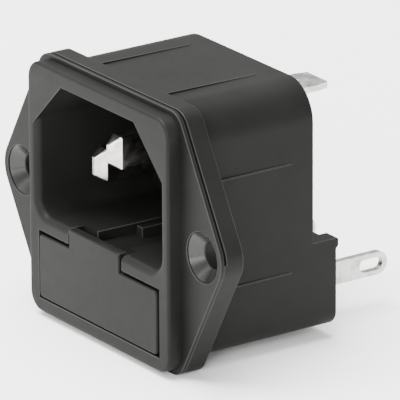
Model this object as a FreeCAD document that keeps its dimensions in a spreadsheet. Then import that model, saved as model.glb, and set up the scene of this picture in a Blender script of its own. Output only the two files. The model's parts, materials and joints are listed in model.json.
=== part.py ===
import FreeCAD, Part
import math
import os
import types
import Sketcher

# Fused C14 appliance inlet for a panel: X to the right, Y backwards through the panel, Z up.
# The origin lies on the panel face of the flange, midway between the two screw holes.

SIZES = [
    # mounting flange with two ears
    ("flange_thick", 3.05),
    ("flange_margin", 0.6),
    ("flange_inset", 0.5),
    ("flange_corner_radius", 2.5),
    ("hole_reach", 4.0),
    ("hole_radius", 1.65),
    ("sink_radius", 2.95),
    ("sink_straight", 0.25),
    ("ear_radius", 3.7),
    ("front_layer", 0.5),
    ("groove_wide", 0.3),
    ("groove_deep", 0.45),
    # raised bezel
    ("rim_top", 1.8),
    ("rim_side", 1.75),
    ("rim_bottom", 1.65),
    ("bezel_raise", 1.75),
    ("bezel_radius", 2.2),
    ("bezel_round", 0.35),
    # plug well
    ("well_wide", 24.5),
    ("well_tall", 16.5),
    ("well_chamfer", 5.0),
    ("well_deep", 16.0),
    ("well_floor_radius", 2.0),
    ("strip_round", 0.9),
    ("strip_tall", 1.85),
    ("channel_wide", 6.6),
    ("channel_deep", 1.2),
    ("channel_long", 9.6),
    ("keel_wide", 1.1),
    ("keel_start", 4.8),
    ("keel_offset", -2.0),
    # housing behind the panel
    ("wall_side", 1.05),
    ("roof_thick", 2.0),
    ("floor_thick", 0.95),
    ("body_long", 15.5),
    ("body_top_radius", 4.5),
    ("body_bottom_radius", 2.0),
    ("cheek_thick", 2.1),
    ("cheek_rise", 1.55),
    ("cheek_lip", 0.3),
    ("cheek_lip_tall", 1.1),
    ("cheek_shoulder", 0.2),
    ("rib_spacing", 13.0),
    ("rib_long", 12.5),
    ("rib_proud", 0.25),
    ("rib_end", 0.1),
    ("rib_wide", 0.25),
    # fuse chamber and drawer
    ("chamber_inset", 0.15),
    ("chamber_tall", 8.2),
    ("drawer_gap_left", 0.1),
    ("drawer_gap_right", 0.5),
    ("drawer_gap_top", 0.4),
    ("drawer_gap_bottom", 0.15),
    ("drawer_thick", 1.5),
    ("drawer_corner", 0.6),
    ("drawer_round", 0.2),
    ("tab_thick", 1.1),
    ("notch_wide", 10.7),
    ("notch_offset", -0.7),
    ("cradle_gap", 0.4),
    ("cradle_edge", 0.2),
    ("spine_wide", 6.8),
    ("spine_drop", 0.6),
    ("trough_gap", 0.12),
    ("trough_floor", 1.0),
    ("end_lip_thick", 0.6),
    ("end_lip_tall", 0.8),
    ("window_long", 8.0),
    ("window_wide", 2.6),
    # two 5 x 20 mm cartridge fuses
    ("fuse_spacing", 14.0),
    ("fuse_long", 20.0),
    ("fuse_gap", 0.1),
    ("fuse_cap_radius", 2.6),
    ("fuse_cap_long", 5.2),
    ("fuse_cap_wall", 0.25),
    ("fuse_glass_wall", 0.6),
    ("fuse_glass_gap", 0.02),
    ("fuse_wire_radius", 0.15),
    # contact pins
    ("pin_spacing", 14.0),
    ("pin_thick", 2.0),
    ("pin_tall", 4.0),
    ("pin_tip_thick", 0.5),
    ("pin_tip_tall", 2.1),
    ("pin_taper", 1.3),
    ("line_pin_rise", 6.4),
    ("line_pin_recess", 4.2),
    ("earth_pin_rise", 10.4),
    ("earth_pin_recess", 1.5),
    ("rivet_radius", 0.85),
    ("rivet_head_radius", 1.3),
    ("rivet_head_tall", 0.45),
    # links from the line and neutral pins to the front fuse caps
    ("link_thick", 0.6),
    ("link_wide", 3.0),
    ("link_rise", 2.3),
    ("link_bend", 0.7),
    ("link_finger", 1.8),
    ("link_finger_foot", 0.8),
    ("contact_gap", 0.08),
    ("link_pocket_deep", 2.5),
    ("link_clear", 0.2),
    # solder tabs at the rear of the fuse chamber
    ("tab_strip_thick", 0.8),
    ("tab_strip_wide", 2.8),
    ("tab_strip_foot", 2.4),
    ("tab_strip_bend", 0.9),
    ("tab_reach", 11.45),
    ("tab_drop", 1.08),
    ("tab_slot_long", 3.2),
    ("tab_slot_wide", 1.5),
    ("tab_slot_margin", 0.7),
    ("carrier_plate", 1.0),
    ("carrier_roof", 1.2),
    ("carrier_slot_gap", 0.05),
    # earth terminal
    ("earth_strip_thick", 0.8),
    ("earth_strip_wide", 4.8),
    ("earth_strip_bend", 1.0),
    ("earth_tab_rise", 3.1),
    ("earth_tab_reach", 10.1),
    ("earth_tab_taper_long", 1.5),
    ("earth_tab_taper_wide", 0.4),
    ("earth_leg_drop", 1.6),
    ("earth_dimple_radius", 0.7),
    ("earth_dimple_deep", 0.2),
    ("earth_dimple_margin", 3.2),
    # how far the outline of a cut runs past the solid that it cuts
    ("cut_margin", 1.0),
]


class Size:
    """A length that carries both its number and the formula that a property is bound to."""

    def __init__(self, number, formula):
        self.number = number
        self.formula = formula

    def _join(self, sign, other, number):
        text = other.formula if isinstance(other, Size) else repr(other)
        return Size(number, f"({self.formula} {sign} {text})")

    def __add__(self, other):
        return self._join("+", other, self.number + plain(other))

    def __sub__(self, other):
        return self._join("-", other, self.number - plain(other))

    def __mul__(self, other):
        return self._join("*", other, self.number * plain(other))

    def __truediv__(self, other):
        return self._join("/", other, self.number / plain(other))

    def __neg__(self):
        return Size(-self.number, f"(0 - {self.formula})")


def plain(size):
    """The number behind a size, or the number itself."""
    return size.number if isinstance(size, Size) else float(size)


def formula(size):
    """The text that binds a property to a size."""
    return size.formula if isinstance(size, Size) else repr(float(size))


doc = FreeCAD.newDocument("fused_inlet")
sheet = doc.addObject("Spreadsheet::Sheet", "sizes")
for row, (word, number) in enumerate(SIZES, start=1):
    sheet.set(f"A{row}", word)
    sheet.set(f"B{row}", str(number))
    sheet.setAlias(f"B{row}", word)
doc.recompute()
named = {word: Size(float(sheet.get(word)), f"sizes.{word}") for word, number in SIZES}
zero = Size(0.0, "0")


# --- sketching and feature helpers -------------------------------------------------------

def new_body(label):
    body = doc.addObject("PartDesign::Body", label)
    body.Label = label
    return body


def origin_feature(body, role):
    return next(item for item in body.Origin.OriginFeatures if item.Role == role)


def new_sketch(body, role, offset, across=zero, up=zero):
    """A sketch on one of the body's planes, moved along the plane's normal and within it."""
    sketch = body.newObject("Sketcher::SketchObject", "profile")
    sketch.AttachmentSupport = [(origin_feature(body, role), "")]
    sketch.MapMode = "FlatFace"
    for axis, length in (("x", across), ("y", up), ("z", offset)):
        sketch.setExpression(f"AttachmentOffset.Base.{axis}", formula(length))
    return sketch


def front_sketch(body, depth, across=zero, up=zero):
    """A sketch seen from the front, at a given Y: its axes are X and Z."""
    return new_sketch(body, "XZ_Plane", -depth, across, up)


def fix_point(sketch, edge, end, place):
    """Hold one end (1 or 2) or the centre (3) of a sketch edge at named coordinates."""
    for kind, size in (("DistanceX", place[0]), ("DistanceY", place[1])):
        number = sketch.addConstraint(Sketcher.Constraint(kind, -1, 1, edge, end, plain(size)))
        sketch.setExpression(f"Constraints[{number}]", formula(size))


def polygon(sketch, corners):
    """A closed outline through the given corners, each held by two named coordinates."""
    points = [FreeCAD.Vector(plain(u), plain(v), 0) for u, v in corners]
    first = sketch.GeometryCount
    count = len(points)
    for index in range(count):
        sketch.addGeometry(Part.LineSegment(points[index], points[(index + 1) % count]))
    for index in range(count):
        after = first + (index + 1) % count
        sketch.addConstraint(Sketcher.Constraint("Coincident", first + index, 2, after, 1))
        fix_point(sketch, first + index, 1, corners[index])
    return sketch


def rectangle(sketch, left, right, low, high):
    return polygon(sketch, [(left, low), (right, low), (right, high), (left, high)])


def circle(sketch, across, up, radius):
    centre = FreeCAD.Vector(plain(across), plain(up), 0)
    edge = sketch.addGeometry(Part.Circle(centre, FreeCAD.Vector(0, 0, 1), plain(radius)))
    fix_point(sketch, edge, 3, (across, up))
    number = sketch.addConstraint(Sketcher.Constraint("Radius", edge, plain(radius)))
    sketch.setExpression(f"Constraints[{number}]", formula(radius))
    return sketch


def pad(body, sketch, length, flipped=True):
    """Add material; from a front sketch it grows backwards unless it isn't flipped."""
    feature = body.newObject("PartDesign::Pad", "pad")
    feature.Profile = sketch
    feature.setExpression("Length", formula(length))
    feature.Reversed = flipped
    doc.recompute()
    return feature


def pocket(body, sketch, length, flipped=False):
    """Cut material and check that the cut took something away."""
    doc.recompute()
    before = body.Shape.Volume
    feature = body.newObject("PartDesign::Pocket", "pocket")
    feature.Profile = sketch
    feature.setExpression("Length", formula(length))
    feature.Reversed = flipped
    doc.recompute()
    assert body.Shape.Volume < before, f"{body.Label}: a pocket cuts nothing"
    return feature


def round_edges(body, radius, wanted):
    """Fillet the edges that the test picks by their middle point and direction."""
    base = body.Tip
    names = []
    for number, edge in enumerate(base.Shape.Edges, start=1):
        halfway = (edge.FirstParameter + edge.LastParameter) / 2
        if wanted(edge.valueAt(halfway), edge.tangentAt(halfway)):
            names.append(f"Edge{number}")
    assert names, f"{body.Label}: no edge to round"
    feature = body.newObject("PartDesign::Fillet", "fillet")
    feature.Base = (base, names)
    feature.setExpression("Radius", formula(radius))
    doc.recompute()
    assert feature.isValid(), f"{body.Label}: rounding failed near {names}"
    return feature


def mirror(body, features):
    """Repeat features on the other side of the middle plane."""
    feature = body.newObject("PartDesign::Mirrored", "mirrored")
    feature.Originals = features
    feature.MirrorPlane = (origin_feature(body, "YZ_Plane"), [""])
    body.Tip = feature
    doc.recompute()
    return feature


def near(first, second, reach=0.01):
    return abs(plain(first) - plain(second)) < plain(reach)


# --- places that several pieces share ----------------------------------------------------

size = types.SimpleNamespace(**named)
bezel_front = -(size.flange_thick + size.bezel_raise)
ear_front = -size.flange_thick
layer_back = ear_front + size.front_layer

bezel_tall = size.rim_top + size.well_tall + size.strip_tall + size.chamber_tall + size.rim_bottom
bezel_top = bezel_tall / 2
bezel_side = size.well_wide / 2 + size.rim_side
ear_x = bezel_side + size.hole_reach
flange_top = bezel_top + size.flange_margin
flange_side = bezel_side - size.flange_inset

well_side = size.well_wide / 2
well_top = bezel_top - size.rim_top
well_floor = well_top - size.well_tall
notch_left = size.notch_offset - size.notch_wide / 2
notch_right = size.notch_offset + size.notch_wide / 2
well_back = bezel_front + size.well_deep
chamber_side = well_side - size.chamber_inset
chamber_top = well_floor - size.strip_tall
chamber_bottom = chamber_top - size.chamber_tall

body_side = well_side + size.wall_side
body_top = well_top + size.roof_thick
body_bottom = chamber_bottom - size.floor_thick
cheek_in = body_side - size.cheek_thick
cheek_top = chamber_top + size.cheek_rise

drawer_left = -chamber_side + size.drawer_gap_left
drawer_right = chamber_side - size.drawer_gap_right
drawer_bottom = chamber_bottom + size.drawer_gap_bottom
drawer_top = chamber_top - size.drawer_gap_top
drawer_back = bezel_front + size.drawer_thick

fuse_x = size.fuse_spacing / 2
fuse_z = drawer_bottom + size.trough_floor + size.trough_gap + size.fuse_cap_radius
fuse_front = drawer_back + size.fuse_gap
fuse_back = fuse_front + size.fuse_long
foot_front = fuse_back + size.fuse_gap
cradle_back = foot_front - size.fuse_gap / 2
carrier_front = foot_front + size.tab_strip_thick
tail_back = carrier_front + size.carrier_plate
tab_height = fuse_z - size.tab_drop
tab_end = tail_back + size.tab_reach

pin_x = size.pin_spacing / 2
line_pin_height = well_floor + size.line_pin_rise
earth_pin_height = well_floor + size.earth_pin_rise
link_front = size.body_long - size.link_pocket_deep
link_back = link_front + size.link_thick
link_low = chamber_top + size.link_clear / 2
link_high = link_low + size.link_thick
link_elbow = layer_back + size.link_finger
earth_back = size.body_long + size.earth_strip_thick
earth_tab_top = earth_pin_height + size.earth_tab_rise + size.earth_strip_thick / 2
earth_tab_end = size.body_long + size.earth_tab_reach


def line(sketch, start, end):
    """A straight sketch edge between two named points."""
    edge = sketch.addGeometry(Part.LineSegment(
        FreeCAD.Vector(plain(start[0]), plain(start[1]), 0),
        FreeCAD.Vector(plain(end[0]), plain(end[1]), 0)))
    return edge


def arc(sketch, centre, radius, start, end):
    """An arc about a held centre, with a named radius; angles in radians, anticlockwise."""
    round_edge = Part.Circle(FreeCAD.Vector(plain(centre[0]), plain(centre[1]), 0),
                             FreeCAD.Vector(0, 0, 1), plain(radius))
    edge = sketch.addGeometry(Part.ArcOfCircle(round_edge, start, end))
    fix_point(sketch, edge, 3, centre)
    number = sketch.addConstraint(Sketcher.Constraint("Radius", edge, plain(radius)))
    sketch.setExpression(f"Constraints[{number}]", formula(radius))
    return edge


def lean(corner, radius):
    """The angle at which a line from a flange corner touches the ear's circle."""
    across = plain(corner[0]) - plain(ear_x)
    up = plain(corner[1])
    return math.atan2(up, across) - math.acos(plain(radius) / math.hypot(across, up))


def on_circle(side, radius, angle):
    """A point on an ear's circle; side is 1 on the right and -1 on the left."""
    return (side * (plain(ear_x) + plain(radius) * math.cos(angle)), plain(radius) * math.sin(angle))


def eared_outline(sketch):
    """The flange outline: flat top and bottom, four slopes, and a round ear on each side."""
    top = flange_top
    corner = flange_side
    turn = lean((corner, top), size.ear_radius)
    right_up = on_circle(1, size.ear_radius, turn)
    right_low = on_circle(1, size.ear_radius, -turn)
    left_up = on_circle(-1, size.ear_radius, turn)
    left_low = on_circle(-1, size.ear_radius, -turn)
    upper = line(sketch, (-corner, top), (corner, top))
    slope_a = line(sketch, (corner, top), right_up)
    ear_a = arc(sketch, (ear_x, zero), size.ear_radius, -turn, turn)
    slope_b = line(sketch, right_low, (corner, -top))
    lower = line(sketch, (corner, -top), (-corner, -top))
    slope_c = line(sketch, (-corner, -top), left_low)
    ear_b = arc(sketch, (-ear_x, zero), size.ear_radius, math.pi - turn, math.pi + turn)
    slope_d = line(sketch, left_up, (-corner, top))
    for edge, place in ((upper, (-corner, top)), (slope_a, (corner, top)),
                        (lower, (corner, -top)), (slope_c, (-corner, -top))):
        fix_point(sketch, edge, 1, place)
    for first, second in ((upper, slope_a), (slope_b, lower), (lower, slope_c), (slope_d, upper)):
        sketch.addConstraint(Sketcher.Constraint("Coincident", first, 2, second, 1))
    for slope, end, ear, ear_end in ((slope_a, 2, ear_a, 2), (slope_b, 1, ear_a, 1),
                                     (slope_c, 2, ear_b, 2), (slope_d, 1, ear_b, 1)):
        sketch.addConstraint(Sketcher.Constraint("Tangent", slope, end, ear, ear_end))
    return sketch


def upper_rim(sketch):
    """All that lies outside the upper half of the flange, once that is drawn in a little."""
    top = flange_top - size.groove_deep
    corner = flange_side - size.groove_deep / 2
    radius = size.ear_radius - size.groove_deep
    reach = ear_x + size.ear_radius + size.cut_margin
    height = flange_top + size.cut_margin
    turn = lean((corner, top), radius)
    upper = line(sketch, (-corner, top), (corner, top))
    slope_a = line(sketch, (corner, top), on_circle(1, radius, turn))
    ear_a = arc(sketch, (ear_x, zero), radius, 0, turn)
    out_a = line(sketch, (ear_x + radius, zero), (reach, zero))
    side_a = line(sketch, (reach, zero), (reach, height))
    over = line(sketch, (reach, height), (-reach, height))
    side_b = line(sketch, (-reach, height), (-reach, zero))
    out_b = line(sketch, (-reach, zero), (-ear_x - radius, zero))
    ear_b = arc(sketch, (-ear_x, zero), radius, math.pi - turn, math.pi)
    slope_b = line(sketch, on_circle(-1, radius, turn), (-corner, top))
    for edge, place in ((upper, (-corner, top)), (slope_a, (corner, top)), (side_a, (reach, zero)),
                        (over, (reach, height)), (side_b, (-reach, height)), (out_b, (-reach, zero))):
        fix_point(sketch, edge, 1, place)
    sketch.addConstraint(Sketcher.Constraint("PointOnObject", out_a, 1, -1))
    sketch.addConstraint(Sketcher.Constraint("PointOnObject", out_b, 2, -1))
    for first, second in ((upper, slope_a), (out_a, side_a), (side_a, over), (over, side_b),
                          (side_b, out_b), (slope_b, upper)):
        sketch.addConstraint(Sketcher.Constraint("Coincident", first, 2, second, 1))
    sketch.addConstraint(Sketcher.Constraint("Coincident", ear_a, 1, out_a, 1))
    sketch.addConstraint(Sketcher.Constraint("Coincident", ear_b, 2, out_b, 2))
    sketch.addConstraint(Sketcher.Constraint("Tangent", slope_a, 2, ear_a, 2))
    sketch.addConstraint(Sketcher.Constraint("Tangent", slope_b, 1, ear_b, 1))
    return sketch


def soft_rectangle(sketch, left, right, low, high, radius):
    """A rectangle with rounded corners; the arcs' centres and radius are held."""
    places = [(left + radius, low + radius), (right - radius, low + radius),
              (right - radius, high - radius), (left + radius, high - radius)]
    starts = [math.pi, -math.pi / 2, 0, math.pi / 2]
    arcs = [arc(sketch, place, radius, start, start + math.pi / 2)
            for place, start in zip(places, starts)]
    for index, start in enumerate(starts):
        after = (index + 1) % 4
        turn = start + math.pi / 2
        away = (radius * math.cos(turn), radius * math.sin(turn))
        edge = line(sketch, (places[index][0] + away[0], places[index][1] + away[1]),
                    (places[after][0] + away[0], places[after][1] + away[1]))
        sketch.addConstraint(Sketcher.Constraint("Tangent", arcs[index], 2, edge, 1))
        sketch.addConstraint(Sketcher.Constraint("Tangent", edge, 2, arcs[after], 1))
    return sketch


def well_outline(sketch):
    """The plug opening: a rectangle whose two upper corners are cut at 45 degrees."""
    cut_x = well_side - size.well_chamfer
    cut_z = well_top - size.well_chamfer
    return polygon(sketch, [(-well_side, well_floor), (well_side, well_floor),
                            (well_side, cut_z), (cut_x, well_top),
                            (-cut_x, well_top), (-well_side, cut_z)])


def sink_holes(body):
    """Both screw holes, each with a countersink that starts with a short straight wall."""
    before = body.Shape.Volume
    sketch = new_sketch(body, "XY_Plane", zero, ear_x)
    low = ear_front - size.cut_margin
    cone = ear_front + size.sink_straight
    neck = cone + size.sink_radius - size.hole_radius
    polygon(sketch, [(zero, low), (size.sink_radius, low), (size.sink_radius, cone),
                     (size.hole_radius, neck), (size.hole_radius, size.cut_margin),
                     (zero, size.cut_margin)])
    hole = body.newObject("PartDesign::Groove", "screw_hole")
    hole.Profile = sketch
    hole.ReferenceAxis = (sketch, ["V_Axis"])
    hole.Angle = 360
    doc.recompute()
    mirror(body, [hole])
    assert body.Shape.Volume < before, f"{body.Label}: the screw holes cut nothing"


def along(axis):
    """A test for edges that run along X, Y or Z."""
    return lambda way: abs(getattr(way, axis)) > 0.999


along_x, along_y, along_z = along("x"), along("y"), along("z")


def flange_corner(middle, way):
    return (along_y(way) and near(abs(middle.x), flange_side, size.groove_deep)
            and near(abs(middle.z), flange_top, size.groove_deep * 1.1))


# --- front frame -------------------------------------------------------------------------

def build_front_frame():
    """Raised bezel with both openings, and the thin front layer of the flange behind it."""
    body = new_body("front_frame")
    pad(body, eared_outline(front_sketch(body, ear_front)), size.front_layer)
    round_edges(body, size.flange_corner_radius, flange_corner)
    pad(body, soft_rectangle(front_sketch(body, bezel_front), -bezel_side, bezel_side,
                             -bezel_top, bezel_top, size.bezel_radius), size.bezel_raise)
    through = size.bezel_raise + size.front_layer
    pocket(body, well_outline(front_sketch(body, bezel_front)), through)
    pocket(body, rectangle(front_sketch(body, bezel_front), -chamber_side, chamber_side,
                           chamber_bottom, chamber_top), through)
    pocket(body, rectangle(front_sketch(body, bezel_front), notch_left, notch_right,
                           chamber_top, well_floor), through)
    sink_holes(body)
    round_edges(body, size.well_floor_radius,
                lambda middle, way: along_y(way) and near(abs(middle.x), well_side)
                and near(middle.z, well_floor))
    round_edges(body, size.strip_round,
                lambda middle, way: along_x(way) and near(middle.y, bezel_front)
                and near(middle.z, well_floor))
    round_edges(body, size.bezel_round,
                lambda middle, way: near(middle.y, bezel_front)
                and (near(abs(middle.x), bezel_side, size.bezel_radius / 3)
                     or near(abs(middle.z), bezel_top, size.bezel_radius / 3)))
    return body


# --- housing -----------------------------------------------------------------------------

def cheek_outline(sketch):
    """The side cheek of the tail seen from the side, with a lip at its upper rear corner."""
    root = size.body_long - size.cut_margin
    shoulder = cheek_top - size.cheek_shoulder
    lip_low = shoulder - size.cheek_lip_tall
    lip_back = tail_back + size.cheek_lip
    return polygon(sketch, [(root, body_bottom), (tail_back, body_bottom), (tail_back, lip_low),
                            (lip_back, lip_low + size.cheek_lip), (lip_back, shoulder),
                            (lip_back - size.cheek_shoulder, cheek_top), (root, cheek_top)])


def build_housing():
    """Flange, box-shaped body with the plug well and fuse chamber, and the tail's cheeks."""
    body = new_body("housing")
    flange = size.flange_thick - size.front_layer
    pad(body, eared_outline(front_sketch(body, layer_back)), flange)
    pocket(body, upper_rim(front_sketch(body, layer_back)), size.groove_wide)
    round_edges(body, size.flange_corner_radius, flange_corner)
    pad(body, rectangle(front_sketch(body, zero), -body_side, body_side, body_bottom, body_top),
        size.body_long)
    pad(body, cheek_outline(new_sketch(body, "YZ_Plane", -body_side)), size.cheek_thick, False)
    pad(body, cheek_outline(new_sketch(body, "YZ_Plane", cheek_in)), size.cheek_thick, False)
    pad(body, rectangle(front_sketch(body, size.body_long), -body_side, body_side,
                        body_bottom, chamber_bottom), tail_back - size.body_long)
    round_edges(body, size.body_top_radius,
                lambda middle, way: along_y(way) and near(abs(middle.x), body_side)
                and near(middle.z, body_top))
    round_edges(body, size.body_bottom_radius,
                lambda middle, way: along_y(way) and near(abs(middle.x), body_side)
                and near(middle.z, body_bottom))
    pocket(body, well_outline(front_sketch(body, layer_back)), well_back - layer_back)
    round_edges(body, size.well_floor_radius,
                lambda middle, way: along_y(way) and near(abs(middle.x), well_side)
                and near(middle.z, well_floor))
    pocket(body, rectangle(front_sketch(body, layer_back), -chamber_side, chamber_side,
                           chamber_bottom, chamber_top), size.body_long - layer_back)
    sink_holes(body)
    channel = size.channel_wide / 2
    keel = size.keel_offset + size.keel_wide / 2
    channel_back = layer_back + size.channel_long
    keel_front = layer_back + size.keel_start
    pocket(body, polygon(new_sketch(body, "XY_Plane", well_floor),
                         [(-channel, layer_back), (channel, layer_back), (channel, channel_back),
                          (keel, channel_back), (keel, keel_front), (keel - size.keel_wide, keel_front),
                          (keel - size.keel_wide, channel_back), (-channel, channel_back)]),
           size.channel_deep)
    for sign in (-1, 1):
        cut_link_room(body, pin_x * sign)
    slot_wide = size.pin_thick / 2
    slot_tall = size.pin_tall / 2
    pocket(body, rectangle(front_sketch(body, well_back, zero, earth_pin_height),
                           -slot_wide, slot_wide, -slot_tall, slot_tall),
           size.body_long - well_back)
    add_crush_ribs(body)
    return body


def cut_link_room(body, middle):
    """Slot for a pin, rear pocket for its link and a groove for the link's forward run."""
    slot_wide = size.pin_thick / 2
    slot_tall = size.pin_tall / 2
    pocket(body, rectangle(front_sketch(body, well_back, middle, line_pin_height),
                           -slot_wide, slot_wide, -slot_tall, slot_tall),
           size.body_long - well_back)
    room = size.link_wide / 2 + size.link_clear
    top = line_pin_height + size.link_rise + size.link_clear
    pocket(body, rectangle(front_sketch(body, link_front, middle), -room, room, chamber_top, top),
           size.link_pocket_deep)
    pocket(body, rectangle(front_sketch(body, layer_back, middle), -room, room,
                           chamber_top, link_high + size.link_clear / 2), link_front - layer_back)


def add_crush_ribs(body):
    """Thin ribs behind the panel, on top and on both sides, that tighten it in its cut-out."""
    thin = size.rib_wide / 2
    for sign in (-1, 1):
        place = size.rib_spacing / 2 * sign
        pad(body, polygon(new_sketch(body, "YZ_Plane", place - thin),
                          [(zero, body_top - size.rib_proud), (size.rib_long, body_top - size.rib_proud),
                           (size.rib_long, body_top + size.rib_end),
                           (zero, body_top + size.rib_proud)]), size.rib_wide, False)
        root = (body_side - size.rib_proud) * sign
        for height in (-1, 1):
            level = size.rib_spacing / 2 * height - thin
            pad(body, polygon(new_sketch(body, "XY_Plane", level),
                              [(root, zero), (root, size.rib_long),
                               ((body_side + size.rib_end) * sign, size.rib_long),
                               ((body_side + size.rib_proud) * sign, zero)]), size.rib_wide, False)


# --- rear cap of the fuse chamber --------------------------------------------------------

def build_terminal_carrier():
    """Cap between the cheeks: a plate with two slots for the solder tabs, and a short roof."""
    body = new_body("terminal_carrier")
    roof_top = chamber_top + size.carrier_roof
    pad(body, rectangle(front_sketch(body, carrier_front), -cheek_in, cheek_in,
                        chamber_bottom, roof_top), size.carrier_plate)
    pad(body, rectangle(front_sketch(body, size.body_long), -cheek_in, cheek_in,
                        chamber_top, roof_top), carrier_front - size.body_long)
    tall = size.tab_strip_wide / 2 + size.carrier_slot_gap
    wide = size.tab_strip_thick / 2 + size.carrier_slot_gap
    for sign in (-1, 1):
        pocket(body, rectangle(front_sketch(body, carrier_front, fuse_x * sign, tab_height),
                               -wide, wide, -tall, tall), size.carrier_plate)
    round_edges(body, size.drawer_corner,
                lambda middle, way: along_x(way) and near(middle.y, tail_back)
                and near(middle.z, roof_top))
    return body


# --- fuse drawer -------------------------------------------------------------------------

def build_fuse_drawer():
    """Front plate with a raised tab, and a cradle with a round trough for each fuse."""
    body = new_body("fuse_drawer")
    pad(body, soft_rectangle(front_sketch(body, bezel_front), drawer_left, drawer_right,
                             drawer_bottom, drawer_top, size.drawer_corner), size.drawer_thick)
    pad(body, rectangle(front_sketch(body, bezel_front), notch_left + size.drawer_gap_left,
                        notch_right - size.drawer_gap_right, drawer_top - size.drawer_corner, well_floor),
        size.tab_thick)
    edge = cheek_in - size.cradle_gap
    spine = size.spine_wide / 2
    shelf = fuse_z - size.cradle_edge
    ridge = chamber_top - size.spine_drop
    long = cradle_back - drawer_back
    pad(body, polygon(front_sketch(body, drawer_back),
                      [(-edge, drawer_bottom), (edge, drawer_bottom), (edge, shelf), (spine, shelf),
                       (spine, ridge), (-spine, ridge), (-spine, shelf), (-edge, shelf)]), long)
    pad(body, rectangle(front_sketch(body, cradle_back), -edge, edge, drawer_bottom,
                        fuse_z - size.fuse_cap_radius + size.end_lip_tall), size.end_lip_thick)
    assert plain(cradle_back + size.end_lip_thick) < plain(carrier_front), "the lip meets the cap"
    foot_half = size.tab_strip_thick / 2
    foot_low = tab_height - size.tab_strip_wide / 2 - size.link_clear
    window = size.window_wide / 2
    window_front = (fuse_front + fuse_back - size.window_long) / 2
    for sign in (-1, 1):
        pocket(body, rectangle(front_sketch(body, cradle_back, fuse_x * sign),
                               (foot_half + size.tab_strip_foot + size.link_clear) * -sign,
                               (foot_half + size.link_clear) * sign, foot_low, fuse_z),
               size.end_lip_thick)
        pocket(body, circle(front_sketch(body, drawer_back), fuse_x * sign, fuse_z,
                            size.fuse_cap_radius + size.trough_gap), long)
        pocket(body, rectangle(new_sketch(body, "XY_Plane", drawer_bottom),
                               fuse_x * sign - window, fuse_x * sign + window,
                               window_front, window_front + size.window_long),
               size.trough_floor * 2, True)
    round_edges(body, size.drawer_round, lambda middle, way: near(middle.y, bezel_front))
    return body


# --- pins, links and tabs ----------------------------------------------------------------

def build_pin(label, middle, height, recess, seat, strip):
    """Flat contact pin with a tapered tip, and a riveted tenon through the strip behind it."""
    body = new_body(label)
    tip = bezel_front + recess
    full = tip + size.pin_taper

    def section(depth, wide, tall):
        return rectangle(front_sketch(body, depth, middle, height),
                         -wide / 2, wide / 2, -tall / 2, tall / 2)

    pad(body, section(full, size.pin_thick, size.pin_tall), seat - full)
    loft = body.newObject("PartDesign::AdditiveLoft", "tip")
    loft.Profile = section(full, size.pin_thick, size.pin_tall)
    loft.Sections = [(section(tip, size.pin_tip_thick, size.pin_tip_tall), [""])]
    doc.recompute()
    pad(body, circle(front_sketch(body, seat, middle, height), zero, zero, size.rivet_radius),
        strip)
    head = seat + strip
    pad(body, circle(front_sketch(body, head, middle, height), zero, zero, size.rivet_head_radius),
        size.rivet_head_tall)
    head_pad = body.Tip
    bevel = body.newObject("PartDesign::Chamfer", "head_bevel")
    rim = [f"Edge{number}" for number, edge in enumerate(body.Shape.Edges, start=1)
           if near(edge.CenterOfMass.y, head + size.rivet_head_tall) and edge.isClosed()]
    bevel.Base = (head_pad, rim)
    bevel.setExpression("Size", formula(size.rivet_head_tall / 2))
    doc.recompute()
    assert bevel.isValid(), f"{label}: the rivet head has no bevel"
    return body


def build_link(label, middle):
    """Bent strip: up behind the pin, down, forward over the fuse, and a finger on its cap."""
    body = new_body(label)
    thick = size.link_thick
    top = line_pin_height + size.link_rise
    cap_top = fuse_z + size.fuse_cap_radius + size.contact_gap
    foot = link_elbow - size.link_finger_foot
    knee = link_elbow + thick
    outline = [(link_front, link_high), (link_front, top), (link_back, top), (link_back, link_low),
               (knee + thick, link_low), (link_elbow, cap_top), (foot, cap_top),
               (foot, cap_top + thick), (link_elbow - thick / 4, cap_top + thick), (knee, link_high)]
    sketch = new_sketch(body, "YZ_Plane", middle - size.link_wide / 2)
    pad(body, polygon(sketch, outline), size.link_wide, False)
    hole = circle(front_sketch(body, link_front, middle, line_pin_height), zero, zero,
                  size.rivet_radius)
    pocket(body, hole, thick)
    round_edges(body, size.link_bend,
                lambda spot, way: along_x(way) and near(spot.y, link_back)
                and near(spot.z, link_low))
    round_edges(body, size.link_bend - thick,
                lambda spot, way: along_x(way) and near(spot.y, link_front)
                and near(spot.z, link_high))
    return body


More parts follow.
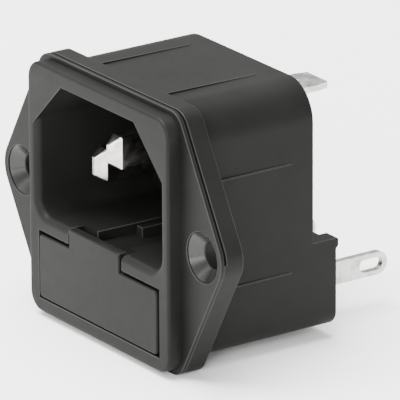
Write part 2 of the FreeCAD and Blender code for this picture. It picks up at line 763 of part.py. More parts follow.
def build_tab_strip(label, sign):
    """Solder tab: a foot against the rear fuse cap, one bend, and a slotted round-ended tab."""
    body = new_body(label)
    middle = fuse_x * sign
    half = size.tab_strip_thick / 2
    inner = half * sign * -1
    foot = (half + size.tab_strip_foot) * sign * -1
    outer = half * sign
    sketch = new_sketch(body, "XY_Plane", tab_height - size.tab_strip_wide / 2, middle)
    pad(body, polygon(sketch, [(outer, foot_front), (outer, tab_end), (inner, tab_end),
                               (inner, carrier_front), (foot, carrier_front), (foot, foot_front)]),
        size.tab_strip_wide, False)
    round_edges(body, size.tab_strip_bend,
                lambda spot, way: along_z(way) and near(spot.y, foot_front)
                and near(spot.x, middle + outer))
    round_edges(body, size.tab_strip_wide / 2 - 0.01,
                lambda spot, way: along_x(way) and near(spot.y, tab_end))
    slot = new_sketch(body, "YZ_Plane", middle - size.tab_strip_thick, tab_end, tab_height)
    radius = size.tab_slot_wide / 2
    rear = -size.tab_slot_margin - radius
    front = -size.tab_slot_margin - size.tab_slot_long + radius
    upper = line(slot, (front, radius), (rear, radius))
    lower = line(slot, (rear, -radius), (front, -radius))
    rear_end = arc(slot, (rear, zero), radius, -math.pi / 2, math.pi / 2)
    front_end = arc(slot, (front, zero), radius, math.pi / 2, 3 * math.pi / 2)
    for edge, end, round_end, round_edge in ((upper, 2, rear_end, 2), (lower, 1, rear_end, 1),
                                             (upper, 1, front_end, 1), (lower, 2, front_end, 2)):
        slot.addConstraint(Sketcher.Constraint("Tangent", edge, end, round_end, round_edge))
    pocket(body, slot, size.tab_strip_thick * 2, True)
    return body


def build_earth_terminal():
    """Strip riveted to the earth pin on the rear face, bent back into a tapered flat tab."""
    body = new_body("earth_terminal")
    under = earth_tab_top - size.earth_strip_thick
    leg = earth_pin_height - size.earth_leg_drop - size.rivet_radius
    half = size.earth_strip_wide / 2
    pad(body, polygon(new_sketch(body, "YZ_Plane", -half),
                      [(size.body_long, leg), (earth_back, leg), (earth_back, under),
                       (earth_tab_end, under), (earth_tab_end, earth_tab_top),
                       (size.body_long, earth_tab_top)]), size.earth_strip_wide, False)
    pocket(body, circle(front_sketch(body, size.body_long, zero, earth_pin_height),
                        zero, zero, size.rivet_radius), size.earth_strip_thick)
    round_edges(body, size.earth_strip_bend,
                lambda spot, way: along_x(way) and near(spot.y, size.body_long)
                and near(spot.z, earth_tab_top))
    taper = earth_tab_end - size.earth_tab_taper_long
    beside = half + size.cut_margin
    for sign in (-1, 1):
        pocket(body, polygon(new_sketch(body, "XY_Plane", earth_tab_top),
                             [(half * sign, taper), (beside * sign, taper),
                              (beside * sign, earth_tab_end),
                              ((half - size.earth_tab_taper_wide) * sign, earth_tab_end)]),
               size.earth_strip_thick)
    pocket(body, circle(new_sketch(body, "XY_Plane", earth_tab_top), zero,
                        earth_tab_end - size.earth_dimple_margin, size.earth_dimple_radius),
           size.earth_dimple_deep)
    return body


# --- cartridge fuses ---------------------------------------------------------------------

def revolve(body, across, profile):
    """A turned piece about a fuse's axis; the profile gives (Y, radius) corners."""
    sketch = polygon(new_sketch(body, "YZ_Plane", across, zero, fuse_z), profile)
    turned = body.newObject("PartDesign::Revolution", "turned")
    turned.Profile = sketch
    turned.ReferenceAxis = (sketch, ["H_Axis"])
    turned.Angle = 360
    doc.recompute()
    return body


def build_fuse(name, across):
    """Glass tube, two pressed caps and the melting wire of one 5 x 20 mm fuse."""
    radius = size.fuse_cap_radius
    wall = size.fuse_cap_wall
    bore = radius - wall
    glass = bore - size.fuse_glass_gap
    inner_front = fuse_front + wall
    inner_back = fuse_back - wall
    revolve(new_body(f"{name}_fuse_glass"), across,
            [(inner_front, glass - size.fuse_glass_wall), (inner_front, glass),
             (inner_back, glass), (inner_back, glass - size.fuse_glass_wall)])
    for end, outside, inside, mouth in (
            ("front", fuse_front, inner_front, fuse_front + size.fuse_cap_long),
            ("rear", fuse_back, inner_back, fuse_back - size.fuse_cap_long)):
        revolve(new_body(f"{name}_fuse_{end}_cap"), across,
                [(outside, zero), (outside, radius), (mouth, radius), (mouth, bore),
                 (inside, bore), (inside, zero)])
    wire = doc.addObject("Part::Cylinder", f"{name}_fuse_wire")
    wire.Label = f"{name}_fuse_wire"
    wire.setExpression("Radius", formula(size.fuse_wire_radius))
    wire.setExpression("Height", formula(inner_back - inner_front))
    wire.Placement.Rotation = FreeCAD.Rotation(FreeCAD.Vector(1, 0, 0), -90)
    for axis, place in (("x", across), ("y", inner_front), ("z", fuse_z)):
        wire.setExpression(f".Placement.Base.{axis}", formula(place))
    return wire


# --- the whole inlet ---------------------------------------------------------------------

build_front_frame()
build_housing()
build_terminal_carrier()
build_fuse_drawer()
build_pin("line_pin", -pin_x, line_pin_height, size.line_pin_recess, link_front,
          size.link_thick)
build_pin("neutral_pin", pin_x, line_pin_height, size.line_pin_recess, link_front,
          size.link_thick)
build_pin("earth_pin", zero, earth_pin_height, size.earth_pin_recess, size.body_long,
          size.earth_strip_thick)
build_link("line_link", -pin_x)
build_link("neutral_link", pin_x)
build_tab_strip("line_terminal", -1)
build_tab_strip("neutral_terminal", 1)
build_earth_terminal()
build_fuse("line", -fuse_x)
build_fuse("neutral", fuse_x)
doc.recompute()

pieces = [item for item in doc.Objects if item.TypeId in ("PartDesign::Body", "Part::Cylinder")]
for item in doc.Objects:
    assert not {"Invalid", "Error"} & set(item.State), f"{item.Name} failed: {item.State}"
os.makedirs("parts", exist_ok=True)
for piece in pieces:
    shape = piece.Shape
    assert not shape.isNull() and shape.isValid(), f"{piece.Label} has no valid shape"
    shape.exportStep(os.path.join("parts", f"{piece.Label}.step"))
    box = shape.BoundBox
    print(f"{piece.Label:24s} solids {len(shape.Solids)}, volume {shape.Volume:8.2f} mm3, "
          f"{box.XLength:.2f} x {box.YLength:.2f} x {box.ZLength:.2f} mm")
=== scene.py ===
# %% [markdown]
# # A fused C14 panel inlet
# This part takes a mains lead at the front, holds two small fuses in a pull-out drawer, and
# passes the current on to tabs at the back. The CAD solids come in as a fixed frame, in metres.
# Every visible piece is finished here: mouldings and stamped strips keep the solids' shape and
# get rounded edges, the contact pins and the fuses are modelled anew, and each piece gets its
# own surface.

# %% Load the CAD frame
import json
import math
import bmesh
import bpy
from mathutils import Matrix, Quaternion, Vector


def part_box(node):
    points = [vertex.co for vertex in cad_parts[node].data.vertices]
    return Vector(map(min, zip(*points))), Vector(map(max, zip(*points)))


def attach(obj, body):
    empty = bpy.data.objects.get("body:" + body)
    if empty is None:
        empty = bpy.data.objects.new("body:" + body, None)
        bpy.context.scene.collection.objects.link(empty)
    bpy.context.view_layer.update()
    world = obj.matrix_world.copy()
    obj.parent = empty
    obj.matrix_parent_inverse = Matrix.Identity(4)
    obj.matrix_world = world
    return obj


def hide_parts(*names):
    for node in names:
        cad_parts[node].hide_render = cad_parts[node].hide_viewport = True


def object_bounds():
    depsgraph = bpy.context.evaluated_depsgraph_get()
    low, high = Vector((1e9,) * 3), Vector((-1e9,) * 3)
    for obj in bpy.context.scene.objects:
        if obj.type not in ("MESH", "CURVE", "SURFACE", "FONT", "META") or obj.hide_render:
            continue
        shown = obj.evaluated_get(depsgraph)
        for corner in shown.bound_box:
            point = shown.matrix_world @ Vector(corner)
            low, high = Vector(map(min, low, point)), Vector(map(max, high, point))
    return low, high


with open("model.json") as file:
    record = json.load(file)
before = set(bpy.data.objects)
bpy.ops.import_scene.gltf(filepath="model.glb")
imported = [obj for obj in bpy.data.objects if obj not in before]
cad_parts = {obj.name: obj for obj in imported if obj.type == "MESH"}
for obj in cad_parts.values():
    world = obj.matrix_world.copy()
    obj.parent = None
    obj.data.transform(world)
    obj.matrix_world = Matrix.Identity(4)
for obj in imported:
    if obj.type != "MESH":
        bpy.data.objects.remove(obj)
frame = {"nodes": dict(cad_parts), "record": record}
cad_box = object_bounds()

print("CAD nodes:", ", ".join(sorted(frame["nodes"])))

# %% [markdown]
# ## Camera
# The inlet is seen from the right, a little above, with a very long lens from less than a metre
# away, so its edges stay almost parallel. The camera is placed by its bearing, its height
# angle and its distance from a point inside the housing, and then rolled by a fraction of a
# degree. That is easier to read and to change than a typed position and three turns.

# %% Camera
MM = 0.001
AIM = Vector((7.357, 4.121, 2.221)) * MM
BEARING, HEIGHT_ANGLE, ROLL = (math.radians(angle) for angle in (55.315, 19.663, -0.309))
AWAY = 798.3 * MM
LENS_LENGTH, SENSOR_WIDTH = 641.24, 36.0

sight = Vector((-math.sin(BEARING) * math.cos(HEIGHT_ANGLE),
                math.cos(BEARING) * math.cos(HEIGHT_ANGLE), -math.sin(HEIGHT_ANGLE)))
lens = bpy.data.cameras.new("long_lens")
lens.lens = LENS_LENGTH
lens.sensor_width = SENSOR_WIDTH
lens.clip_start = 0.05
lens.clip_end = 20.0
camera = bpy.data.objects.new("camera", lens)
bpy.context.scene.collection.objects.link(camera)
camera.location = AIM - sight * AWAY
level = sight.to_track_quat("-Z", "Y")
camera.rotation_mode = "QUATERNION"
camera.rotation_quaternion = level @ Quaternion((0, 0, 1), ROLL)
bpy.context.scene.camera = camera
print("Camera at", tuple(round(value, 4) for value in camera.location))

# %% [markdown]
# ## Colour and nodes
# Colours are written as they look on a screen, in sRGB hex, and the renderer wants linear
# light, so one function converts them. A second function adds a node with its settings and
# its links, so that a material reads as a short list of what feeds what.

# %% Colour and node helpers
def linear(code):
    """A hex colour such as "#26282a" as linear red, green, blue and alpha."""
    values = [int(code[place:place + 2], 16) / 255 for place in (1, 3, 5)]
    light = [v / 12.92 if v <= 0.04045 else ((v + 0.055) / 1.055) ** 2.4 for v in values]
    return (*light, 1.0)


def add(material, kind, settings=None, **links):
    """Add a node; settings name its properties or sockets, links feed its sockets."""
    tree = material.node_tree
    node = tree.nodes.new(kind)
    for name, value in (settings or {}).items():
        if name in node.inputs:
            node.inputs[name].default_value = value
        else:
            setattr(node, name, value)
    for name, source in links.items():
        tree.links.new(source, node.inputs[name.replace("_", " ")])
    return node


def blank(name):
    """A new material with its surface shader and Object coordinates."""
    material = bpy.data.materials.new(name)
    material.use_nodes = True
    tree = material.node_tree
    tree.nodes.clear()
    surface = add(material, "ShaderNodeBsdfPrincipled")
    output = add(material, "ShaderNodeOutputMaterial")
    tree.links.new(surface.outputs["BSDF"], output.inputs["Surface"])
    place = add(material, "ShaderNodeTexCoord").outputs["Object"]
    return material, surface, place


def per_mm(size):
    """The Scale of a texture whose features are that many millimetres apart."""
    return 1.0 / (size * MM)


# %% [markdown]
# ## Black moulded thermoplastic
# Inlets are moulded from a flame-resistant thermoplastic filled with carbon black. The mould is
# spark eroded, which leaves a fine even grain of some hundredths of a millimetre on the
# outside faces: it scatters the light and gives a broad, grey sheen instead of a mirror
# image. That grain is too fine to show, so it is drawn coarser, 0.2 mm apart. The melt flows
# along the walls and leaves faint, wide clouds in the gloss.

# %% Thermoplastic
def moulded_plastic(name, colour, grain_mm, grain_depth, gloss, shine=0.08):
    material, surface, place = blank(name)
    links = material.node_tree.links
    clouds = add(material, "ShaderNodeTexNoise", {"Scale": per_mm(9.0), "Detail": 3.0,
                                                  "Roughness": 0.55}, Vector=place)
    grain = add(material, "ShaderNodeTexNoise", {"Scale": per_mm(grain_mm), "Detail": 2.0,
                                                 "Roughness": 0.6}, Vector=place)
    dust = add(material, "ShaderNodeTexNoise", {"Scale": per_mm(1.6), "Detail": 5.0,
                                                "Roughness": 0.7}, Vector=place)
    tint = add(material, "ShaderNodeValToRGB", Fac=clouds.outputs["Fac"])
    tint.color_ramp.elements[0].position = 0.3
    tint.color_ramp.elements[0].color = linear(colour[0])
    tint.color_ramp.elements[1].position = 0.75
    tint.color_ramp.elements[1].color = linear(colour[1])
    links.new(tint.outputs["Color"], surface.inputs["Base Color"])
    cloudy = add(material, "ShaderNodeMapRange",
                 {"From Min": 0.25, "From Max": 0.75,
                  "To Min": gloss - 0.035, "To Max": gloss + 0.035},
                 Value=clouds.outputs["Fac"])
    dusty = add(material, "ShaderNodeMapRange", {"From Min": 0.45, "From Max": 0.75,
                                                 "To Min": 0.0, "To Max": 0.07},
                Value=dust.outputs["Fac"])
    rough = add(material, "ShaderNodeMath", {"operation": "ADD"})
    links.new(cloudy.outputs["Result"], rough.inputs[0])
    links.new(dusty.outputs["Result"], rough.inputs[1])
    links.new(rough.outputs["Value"], surface.inputs["Roughness"])
    bump = add(material, "ShaderNodeBump", {"Strength": 0.6, "Distance": grain_depth * MM},
               Height=grain.outputs["Fac"])
    links.new(bump.outputs["Normal"], surface.inputs["Normal"])
    surface.inputs["IOR"].default_value = 1.52
    surface.inputs["Specular IOR Level"].default_value = shine
    return material


GRAIN = 0.2
spark_eroded = moulded_plastic("spark_eroded_thermoplastic", ("#141413", "#1b1b1a"),
                               GRAIN, 0.014, 0.48)
drawer_plastic = moulded_plastic("drawer_thermoplastic", ("#131312", "#1a1a19"),
                                 GRAIN, 0.012, 0.47)
# A paler copy of the plastic for the rounded outward corners: a painted edge highlight.
edge_highlight_plastic = moulded_plastic("painted_edge_highlight_thermoplastic", ("#2a2a29", "#363635"), 0.3, 0.001, 0.4)
core_polished = moulded_plastic("core_polished_thermoplastic", ("#171716", "#1c1c1b"),
                                1.0, 0.002, 0.24, shine=0.4)
print("Plastic grain", GRAIN, "mm")

# %% [markdown]
# ## Plated brass
# The pins are brass, milled to shape and plated with nickel: bright, nearly white, with
# very fine lines along the pin. The tabs are stamped from brass strip and tinned, which is
# duller and mottled where the tin has flowed. Both are metals, so colour sits in the
# reflection and the IOR stays as it is.

# %% Plated metals
def plated_metal(name, colour, line_mm, stretch, depth, gloss, mottle):
    material, surface, place = blank(name)
    links = material.node_tree.links
    turned = add(material, "ShaderNodeMapping", {"Scale": stretch}, Vector=place)
    drawn = add(material, "ShaderNodeTexNoise",
                {"Scale": per_mm(line_mm), "Detail": 4.0, "Roughness": 0.6},
                Vector=turned.outputs["Vector"])
    flow = add(material, "ShaderNodeTexNoise", {"Scale": per_mm(1.1), "Detail": 3.0,
                                                "Roughness": 0.5}, Vector=place)
    tint = add(material, "ShaderNodeValToRGB", Fac=flow.outputs["Fac"])
    tint.color_ramp.elements[0].position = 0.3
    tint.color_ramp.elements[0].color = linear(colour[0])
    tint.color_ramp.elements[1].position = 0.7
    tint.color_ramp.elements[1].color = linear(colour[1])
    links.new(tint.outputs["Color"], surface.inputs["Base Color"])
    rough = add(material, "ShaderNodeMapRange",
                {"From Min": 0.3, "From Max": 0.7,
                 "To Min": gloss - mottle, "To Max": gloss + mottle},
                Value=flow.outputs["Fac"])
    links.new(rough.outputs["Result"], surface.inputs["Roughness"])
    bump = add(material, "ShaderNodeBump", {"Strength": 0.5, "Distance": depth * MM},
               Height=drawn.outputs["Fac"])
    links.new(bump.outputs["Normal"], surface.inputs["Normal"])
    surface.inputs["Metallic"].default_value = 1.0
    return material


nickel_plate = plated_metal("nickel_plated_brass", ("#a9a7a2", "#d6d4ce"), 0.12,
                            (1.0, 0.08, 1.0), 0.002, 0.22, 0.05)
tin_plate = plated_metal("tinned_brass", ("#9c9c98", "#c9c9c5"), 0.2,
                         (1.0, 0.15, 1.0), 0.006, 0.34, 0.1)
cap_plate = plated_metal("nickel_plated_fuse_cap", ("#cdccc8", "#dddcd8"), 0.15,
                         (1.0, 1.0, 1.0), 0.002, 0.2, 0.04)
fuse_element = plated_metal("tinned_copper_wire", ("#9d8a76", "#c2b4a2"), 0.1,
                            (1.0, 0.1, 1.0), 0.002, 0.35, 0.06)

# %% [markdown]
# ## Fuse glass
# The tube is drawn soda-lime glass: clear, faintly green through its edge, with very slight
# waves along its length from drawing.

# %% Glass
fuse_glass, glass_surface, glass_place = blank("soda_lime_glass")
drawn_waves = add(fuse_glass, "ShaderNodeMapping", {"Scale": (1.0, 0.15, 1.0)}, Vector=glass_place)
waves = add(fuse_glass, "ShaderNodeTexNoise", {"Scale": per_mm(2.5), "Detail": 1.0},
            Vector=drawn_waves.outputs["Vector"])
wave_bump = add(fuse_glass, "ShaderNodeBump", {"Strength": 0.3, "Distance": 0.01 * MM},
                Height=waves.outputs["Fac"])
glass_rough = add(fuse_glass, "ShaderNodeMapRange", {"To Min": 0.01, "To Max": 0.05},
                  Value=waves.outputs["Fac"])
fuse_glass.node_tree.links.new(wave_bump.outputs["Normal"], glass_surface.inputs["Normal"])
fuse_glass.node_tree.links.new(glass_rough.outputs["Result"], glass_surface.inputs["Roughness"])
glass_surface.inputs["Base Color"].default_value = linear("#eef5f1")
glass_surface.inputs["Transmission Weight"].default_value = 1.0
glass_surface.inputs["IOR"].default_value = 1.51

# %% [markdown]
# ## Finishing the moulded pieces
# A CAD solid has perfectly sharp edges wherever no fillet was drawn. A moulding never has: the
# cutter and the polish leave about a tenth of a millimetre, and that thin line of light is
# what makes an edge look real. So each moulded piece is copied, its loose triangles are
# merged into closed faces, flat areas are made whole again, and a narrow bevel rounds
# every outward corner. Inward corners stay sharp, because there the mould has an outward corner
# of its own. The bevel gives its faces the second material slot, a paler plastic: a painted
# highlight on the outward corners. The countersinks get a third one, since a polished core pin
# forms them.

# %% Selecting, copying and rounding
SAME_POINT, FLAT = 0.002 * MM, math.radians(1.0)


def nothing_selected():
    for item in bpy.context.selected_objects:
        item.select_set(False)
    bpy.context.view_layer.objects.active = None


def merged_copy(node, name):
    """A closed copy of a CAD node, with its flat areas joined into single faces."""
    piece = frame["nodes"][node].copy()
    piece.data = frame["nodes"][node].data.copy()
    piece.name = piece.data.name = name
    piece.data.materials.clear()
    piece.parent = None
    for key in list(piece.keys()):
        del piece[key]
    bpy.context.scene.collection.objects.link(piece)
    nothing_selected()
    piece.select_set(True)
    bpy.context.view_layer.objects.active = piece
    if piece.data.has_custom_normals:
        bpy.ops.mesh.customdata_custom_splitnormals_clear()
    bpy.ops.object.mode_set(mode="EDIT")
    bpy.ops.mesh.select_all(action="SELECT")
    bpy.ops.mesh.remove_doubles(threshold=SAME_POINT)
    bpy.ops.mesh.dissolve_limited(angle_limit=FLAT)
    bpy.ops.object.mode_set(mode="OBJECT")
    return piece


def soften(piece, width_mm, steps=2, angle=25, slot=-1, keep_sharp=None):
    """Round every outward corner sharper than the angle, and keep the flat faces flat."""
    mesh = bmesh.new()
    mesh.from_mesh(piece.data)
    weight = mesh.edges.layers.float.new("bevel_weight_edge")
    rounded = [edge for edge in mesh.edges if edge.is_manifold
               and edge.calc_face_angle_signed() > math.radians(angle)
               and not (keep_sharp and keep_sharp((edge.verts[0].co + edge.verts[1].co) / 2))]
    for edge in rounded:
        edge[weight] = 1.0
    mesh.to_mesh(piece.data)
    mesh.free()
    bevel = piece.modifiers.new("rounded_edge", "BEVEL")
    bevel.width = width_mm * MM
    bevel.segments = steps
    bevel.limit_method = "WEIGHT"
    bevel.use_clamp_overlap = False
    bevel.harden_normals = True
    bevel.material = slot
    bpy.ops.object.shade_smooth_by_angle(angle=math.radians(angle))
    bpy.ops.object.modifier_apply(modifier=bevel.name)
    print(f"{piece.name}: {len(rounded)} edges rounded, {len(piece.data.polygons)} faces")


def finish(piece, node, *materials):
    """Give the piece its materials, and let it stand for the CAD node on the same body."""
    for material in materials:
        piece.data.materials.append(material)
    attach(piece, next(body for body, nodes in frame["record"]["behaviour"]["bodies"].items()
                        if node in nodes))
    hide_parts(node)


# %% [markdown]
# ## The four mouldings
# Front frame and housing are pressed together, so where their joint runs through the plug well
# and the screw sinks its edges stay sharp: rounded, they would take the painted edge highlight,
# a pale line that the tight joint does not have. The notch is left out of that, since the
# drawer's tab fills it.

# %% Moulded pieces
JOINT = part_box("front_frame")[1][1]
WELL_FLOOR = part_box("fuse_drawer")[1][2]
NOTCH = (-6.0 * MM, 4.6 * MM)
SCREW_X, SINK_RADIUS = 18.0 * MM, 3.0 * MM


def in_sink(place):
    return math.hypot(abs(place.x) - SCREW_X, place.z) < SINK_RADIUS


def in_tight_joint(place):
    """Where front frame and housing are pressed together: in the plug well and the sinks."""
    in_well = abs(place.x) < 12.6 * MM and WELL_FLOOR - 0.1 * MM < place.z < 13.4 * MM
    in_notch = NOTCH[0] < place.x < NOTCH[1] and place.z < WELL_FLOOR + 0.1 * MM
    return abs(place.y - JOINT) < 0.05 * MM and (in_sink(place) or in_well and not in_notch)


moulded = {"front_frame": (spark_eroded, 0.09), "housing": (spark_eroded, 0.09),
           "terminal_carrier": (spark_eroded, 0.10), "fuse_drawer": (drawer_plastic, 0.06)}
for node, (material, width) in moulded.items():
    piece = merged_copy(node, f"{node}_moulding")
    # Slot 1, the paler plastic, paints a highlight on every rounded outward corner.
    for slot in (material, edge_highlight_plastic, core_polished):
        piece.data.materials.append(slot)
    soften(piece, width, slot=1, keep_sharp=in_tight_joint)
    cones = [face for face in piece.data.polygons if face.material_index == 0
             and -0.95 < face.normal.y < -0.4 and in_sink(face.center)]
    for face in cones:
        face.material_index = 2
    print(f"{piece.name}: {len(cones)} countersink faces")
    finish(piece, node)

# %% [markdown]
# ## Contact pins
# The three pins are flat brass bars, 2 by 4 mm. Their ends are coined to a blunt wedge, so that
# a plug finds its way on, and their long edges are rounded. Behind the well each one ends in
# a round tenon, spread into a rivet head that holds the strip. A bar is quickly made by
# hand: a block, its long edges bevelled, its front face pushed forward and made small, and a
# cylinder behind it whose end is pushed out for the rivet. The same steps are run for each
# of the three pins, at its own place, because the earth pin is longer than the others.

# %% Helpers for modelling in edit mode
def pick(piece, faces=None, edges=None):
    """Select only the faces or edges that a test on them accepts."""
    mesh = bmesh.from_edit_mesh(piece.data)
    for item in [*mesh.verts, *mesh.edges, *mesh.faces]:
        item.select_set(False)
    chosen = [face for face in mesh.faces if faces and faces(face)]
    chosen += [edge for edge in mesh.edges if edges and edges(edge)]
    for item in chosen:
        item.select_set(True)
    bmesh.update_edit_mesh(piece.data)
    assert chosen, f"{piece.name}: nothing to select"


def facing(direction, place=None):
    """A test for a flat face that looks along the direction, at a place measured along it."""
    way = Vector(direction)

    def accepts(face):
        near = place is None or abs(face.calc_center_median().dot(way) - place) < 0.02 * MM
        return face.normal.dot(way) > 0.99 and near
    return accepts


def in_place(piece, name):
    """Name a new primitive and move its place, turn and size into its mesh."""
    piece.name = piece.data.name = name
    bpy.ops.object.transform_apply(location=True, rotation=True, scale=True)
    return piece


def closed_outwards(piece):
    """Merge doubles and turn every face outwards."""
    bpy.ops.mesh.select_all(action="SELECT")
    bpy.ops.mesh.remove_doubles(threshold=0.001 * MM)
    bpy.ops.mesh.normals_make_consistent(inside=False)
    bpy.ops.object.mode_set(mode="OBJECT")


# %% Pins
PIN_THICK, PIN_TALL, PIN_TAPER = 2.0 * MM, 4.0 * MM, 1.3 * MM
TIP_THICK, TIP_TALL = 0.5 * MM, 2.1 * MM
HEAD_TALL, HEAD_RADIUS, TENON_RADIUS = 0.45 * MM, 1.3 * MM, 0.85 * MM
FRONT, BACK = (0, -1, 0), (0, 1, 0)


def contact_pin(node, strip):
    low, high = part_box(node)
    middle, height = (low[0] + high[0]) / 2, (low[2] + high[2]) / 2
    tip, shoulder = low[1], low[1] + PIN_TAPER
    seat = high[1] - HEAD_TALL - strip
    nothing_selected()
    bpy.ops.mesh.primitive_cube_add(size=1, location=(middle, (shoulder + seat) / 2, height),
                                    scale=(PIN_THICK, seat - shoulder, PIN_TALL))
    pin = in_place(bpy.context.object, f"{node}_bar")
    bpy.ops.object.mode_set(mode="EDIT")
    pick(pin, edges=lambda edge: abs((edge.verts[0].co - edge.verts[1].co).normalized().y) > 0.99)
    bpy.ops.mesh.bevel(offset=0.3 * MM, segments=3)
    pick(pin, faces=facing(FRONT))
    bpy.ops.mesh.extrude_region_move(TRANSFORM_OT_translate={"value": (0, tip - shoulder, 0)})
    bpy.ops.transform.resize(value=(TIP_THICK / PIN_THICK, 1, TIP_TALL / PIN_TALL),
                             center_override=(middle, tip, height))
    bpy.ops.mesh.select_all(action="DESELECT")
    bpy.ops.mesh.primitive_cylinder_add(vertices=40, radius=TENON_RADIUS, depth=strip,
                                        location=(middle, seat + strip / 2, height),
                                        rotation=(math.radians(90), 0, 0))
    pick(pin, faces=facing(BACK, seat + strip))
    bpy.ops.mesh.extrude_region_move(TRANSFORM_OT_translate={"value": (0, 0, 0)})
    bpy.ops.transform.resize(value=(HEAD_RADIUS / TENON_RADIUS, 1, HEAD_RADIUS / TENON_RADIUS),
                             center_override=(middle, seat + strip, height))
    bpy.ops.mesh.extrude_region_move(TRANSFORM_OT_translate={"value": (0, HEAD_TALL, 0)})
    pick(pin, edges=lambda edge: all(abs(v.co.y - high[1]) < 0.01 * MM for v in edge.verts))
    bpy.ops.mesh.bevel(offset=0.3 * MM, segments=3)
    closed_outwards(pin)
    soften(pin, 0.05, angle=18)
    return pin


for node, strip in {"line_pin": 0.6 * MM, "neutral_pin": 0.6 * MM, "earth_pin": 0.8 * MM}.items():
    finish(contact_pin(node, strip), node, nickel_plate)

# %% [markdown]
# ## Strips and tabs
# The links and the solder tabs are stamped from brass strip and bent. Stamping rounds the edges on
# the punch side and leaves a fine burr on the other, so a very narrow bevel on the
# merged copy of the CAD strip is all that they need. Their tin plate does the rest.

# %% Stamped strips
for node in ("line_link", "neutral_link", "line_terminal", "neutral_terminal", "earth_terminal"):
    piece = merged_copy(node, f"{node}_strip")
    soften(piece, 0.07)
    finish(piece, node, tin_plate)

# %% [markdown]
# ## Fuses
# Each fuse is a glass tube, 5 by 20 mm, with a plated cap on either end and a thin wire between
# them. The cap is a drawn cup: rounded where its wall turns into its end, slightly dished
# there, and open towards the tube. It is made from a cylinder: the mouth is inset and pushed
# in to leave a wall, and the end is bevelled and inset twice. The same steps are run for each
# of the four caps, facing the other way for the rear ones.

# %% Fuse caps
CAP_LONG, CAP_RADIUS, CAP_WALL = 5.2 * MM, 2.6 * MM, 0.25 * MM
CAP_ROUND, DISH_MARGIN, DISH_SLOPE, DISH_DEEP = 0.45 * MM, 0.35 * MM, 0.3 * MM, 0.12 * MM


def fuse_cap(node, outward):
    low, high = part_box(node)
    middle, height = (low[0] + high[0]) / 2, (low[2] + high[2]) / 2
    end = low[1] if outward < 0 else high[1]
    mouth = end - outward * CAP_LONG
    nothing_selected()
    bpy.ops.mesh.primitive_cylinder_add(vertices=64, radius=CAP_RADIUS, depth=CAP_LONG,
                                        location=(middle, (end + mouth) / 2, height),
                                        rotation=(math.radians(90), 0, 0))
    cap = in_place(bpy.context.object, f"{node}_cup")
    bpy.ops.object.mode_set(mode="EDIT")
    pick(cap, faces=facing((0, -outward, 0)))
    bpy.ops.mesh.inset(thickness=CAP_WALL)
    bpy.ops.mesh.extrude_region_move(
        TRANSFORM_OT_translate={"value": (0, outward * (CAP_LONG - 2 * CAP_WALL), 0)})
    pick(cap, edges=lambda edge: all(abs(v.co.y - end) < 0.01 * MM for v in edge.verts))
    bpy.ops.mesh.bevel(offset=CAP_ROUND, segments=5)
    pick(cap, faces=facing((0, outward, 0), end * outward))
    bpy.ops.mesh.inset(thickness=DISH_MARGIN)
    bpy.ops.mesh.inset(thickness=DISH_SLOPE, depth=-DISH_DEEP)
    closed_outwards(cap)
    soften(cap, 0.04, angle=30)
    return cap


for side in ("line", "neutral"):
    for end, outward in {"front": -1, "rear": 1}.items():
        node = f"{side}_fuse_{end}_cap"
        finish(fuse_cap(node, outward), node, cap_plate)

# %% [markdown]
# ## Glass tubes
# A tube needs a real wall, so that light bends in it as in glass. It is a cylinder whose two
# end faces are inset and then bridged to each other, which opens it from end to end.

# %% Glass tubes
GLASS_WALL = 0.6 * MM
for side in ("line", "neutral"):
    node = f"{side}_fuse_glass"
    low, high = (Vector(corner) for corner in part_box(node))
    nothing_selected()
    bpy.ops.mesh.primitive_cylinder_add(vertices=64, radius=(high.x - low.x) / 2,
                                        depth=high.y - low.y, location=(low + high) / 2,
                                        rotation=(math.radians(90), 0, 0))
    tube = in_place(bpy.context.object, f"{node}_tube")
    bpy.ops.object.mode_set(mode="EDIT")
    pick(tube, faces=lambda face: abs(face.normal.y) > 0.99)
    bpy.ops.mesh.inset(thickness=GLASS_WALL)
    bpy.ops.mesh.bridge_edge_loops()
    closed_outwards(tube)
    bpy.ops.object.shade_smooth_by_angle(angle=math.radians(40))
    finish(tube, node, fuse_glass)
    print(f"{tube.name}: wall {GLASS_WALL / MM:.1f} mm, {len(tube.data.polygons)} faces")

# %% [markdown]
# ## Fuse wires
# The wire is soldered into both caps and is never quite straight. A small filled circle is
# pushed along in steps, each a little lower towards the middle and then higher again.

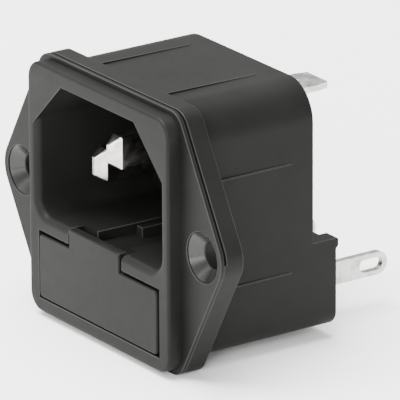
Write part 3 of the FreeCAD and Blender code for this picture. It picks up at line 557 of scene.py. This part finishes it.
# %% Fuse wires
WIRE_STEPS, WIRE_SAG = 12, 0.35 * MM
for side in ("line", "neutral"):
    node = f"{side}_fuse_wire"
    low, high = (Vector(corner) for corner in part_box(node))
    middle = (low + high) / 2
    stride = (high.y - low.y) / WIRE_STEPS
    nothing_selected()
    bpy.ops.mesh.primitive_circle_add(vertices=12, radius=(high.x - low.x) / 2, fill_type="NGON",
                                      location=(middle.x, low.y, middle.z),
                                      rotation=(math.radians(90), 0, 0))
    wire = in_place(bpy.context.object, f"{node}_thread")
    bpy.ops.object.mode_set(mode="EDIT")
    sag = [WIRE_SAG * math.sin(math.pi * step / WIRE_STEPS) for step in range(WIRE_STEPS + 1)]
    for before, after in zip(sag, sag[1:]):
        bpy.ops.mesh.extrude_region_move(
            TRANSFORM_OT_translate={"value": (0, stride, before - after)})
    closed_outwards(wire)
    bpy.ops.object.shade_smooth_by_angle(angle=math.radians(40))
    finish(wire, node, fuse_element)
    print(f"{wire.name}: {len(wire.data.polygons)} faces")

# %% [markdown]
# ## Floor and light
# The inlet stands on a plain pale floor. The world gives an even white light from all round,
# and a large soft light overhead brightens the floor, which the front and the right side
# partly mirror. A fill stands at the side, and a faint one at the front. All of them are large
# and soft, so that the edges are drawn by thin lines of light and not by hard shadows.

# %% Floor and light
bpy.ops.mesh.primitive_plane_add(size=4.0, location=(0, 0, cad_box[0][2]))
floor = bpy.context.object
floor.name = "floor"
floor_paper, paper_surface, paper_place = blank("white_paper")
fibre = add(floor_paper, "ShaderNodeTexNoise", {"Scale": per_mm(6.0), "Detail": 4.0},
            Vector=paper_place)
paper_tint = add(floor_paper, "ShaderNodeValToRGB", Fac=fibre.outputs["Fac"])
paper_tint.color_ramp.elements[0].color = linear("#f6f6f5")
paper_tint.color_ramp.elements[1].color = linear("#fbfbfa")
floor_paper.node_tree.links.new(paper_tint.outputs["Color"], paper_surface.inputs["Base Color"])
paper_surface.inputs["Roughness"].default_value = 0.9
floor.data.materials.append(floor_paper)


def soft_light(name, place, across, watts):
    """A square white light at a place, turned to the inlet."""
    lamp = bpy.data.lights.new(name, "AREA")
    lamp.shape = "RECTANGLE"
    lamp.size = lamp.size_y = across
    lamp.energy = watts
    holder = bpy.data.objects.new(name, lamp)
    bpy.context.scene.collection.objects.link(holder)
    holder.location = place
    holder.rotation_euler = (-Vector(place)).to_track_quat("-Z", "Y").to_euler()
    print(f"{name}: {watts} W")


soft_light("overhead_softbox", (-0.22, -0.18, 1.1), 0.9, 56.0)
soft_light("front_softbox", (-0.45, -0.70, 0.35), 0.5, 4.0)
soft_light("side_fill", (0.62, -0.62, 0.32), 0.45, 11.0)

world = bpy.data.worlds.new("studio")
bpy.context.scene.world = world
world.use_nodes = True
world.node_tree.nodes["Background"].inputs["Color"].default_value = linear("#ffffff")
world.node_tree.nodes["Background"].inputs["Strength"].default_value = 1.1
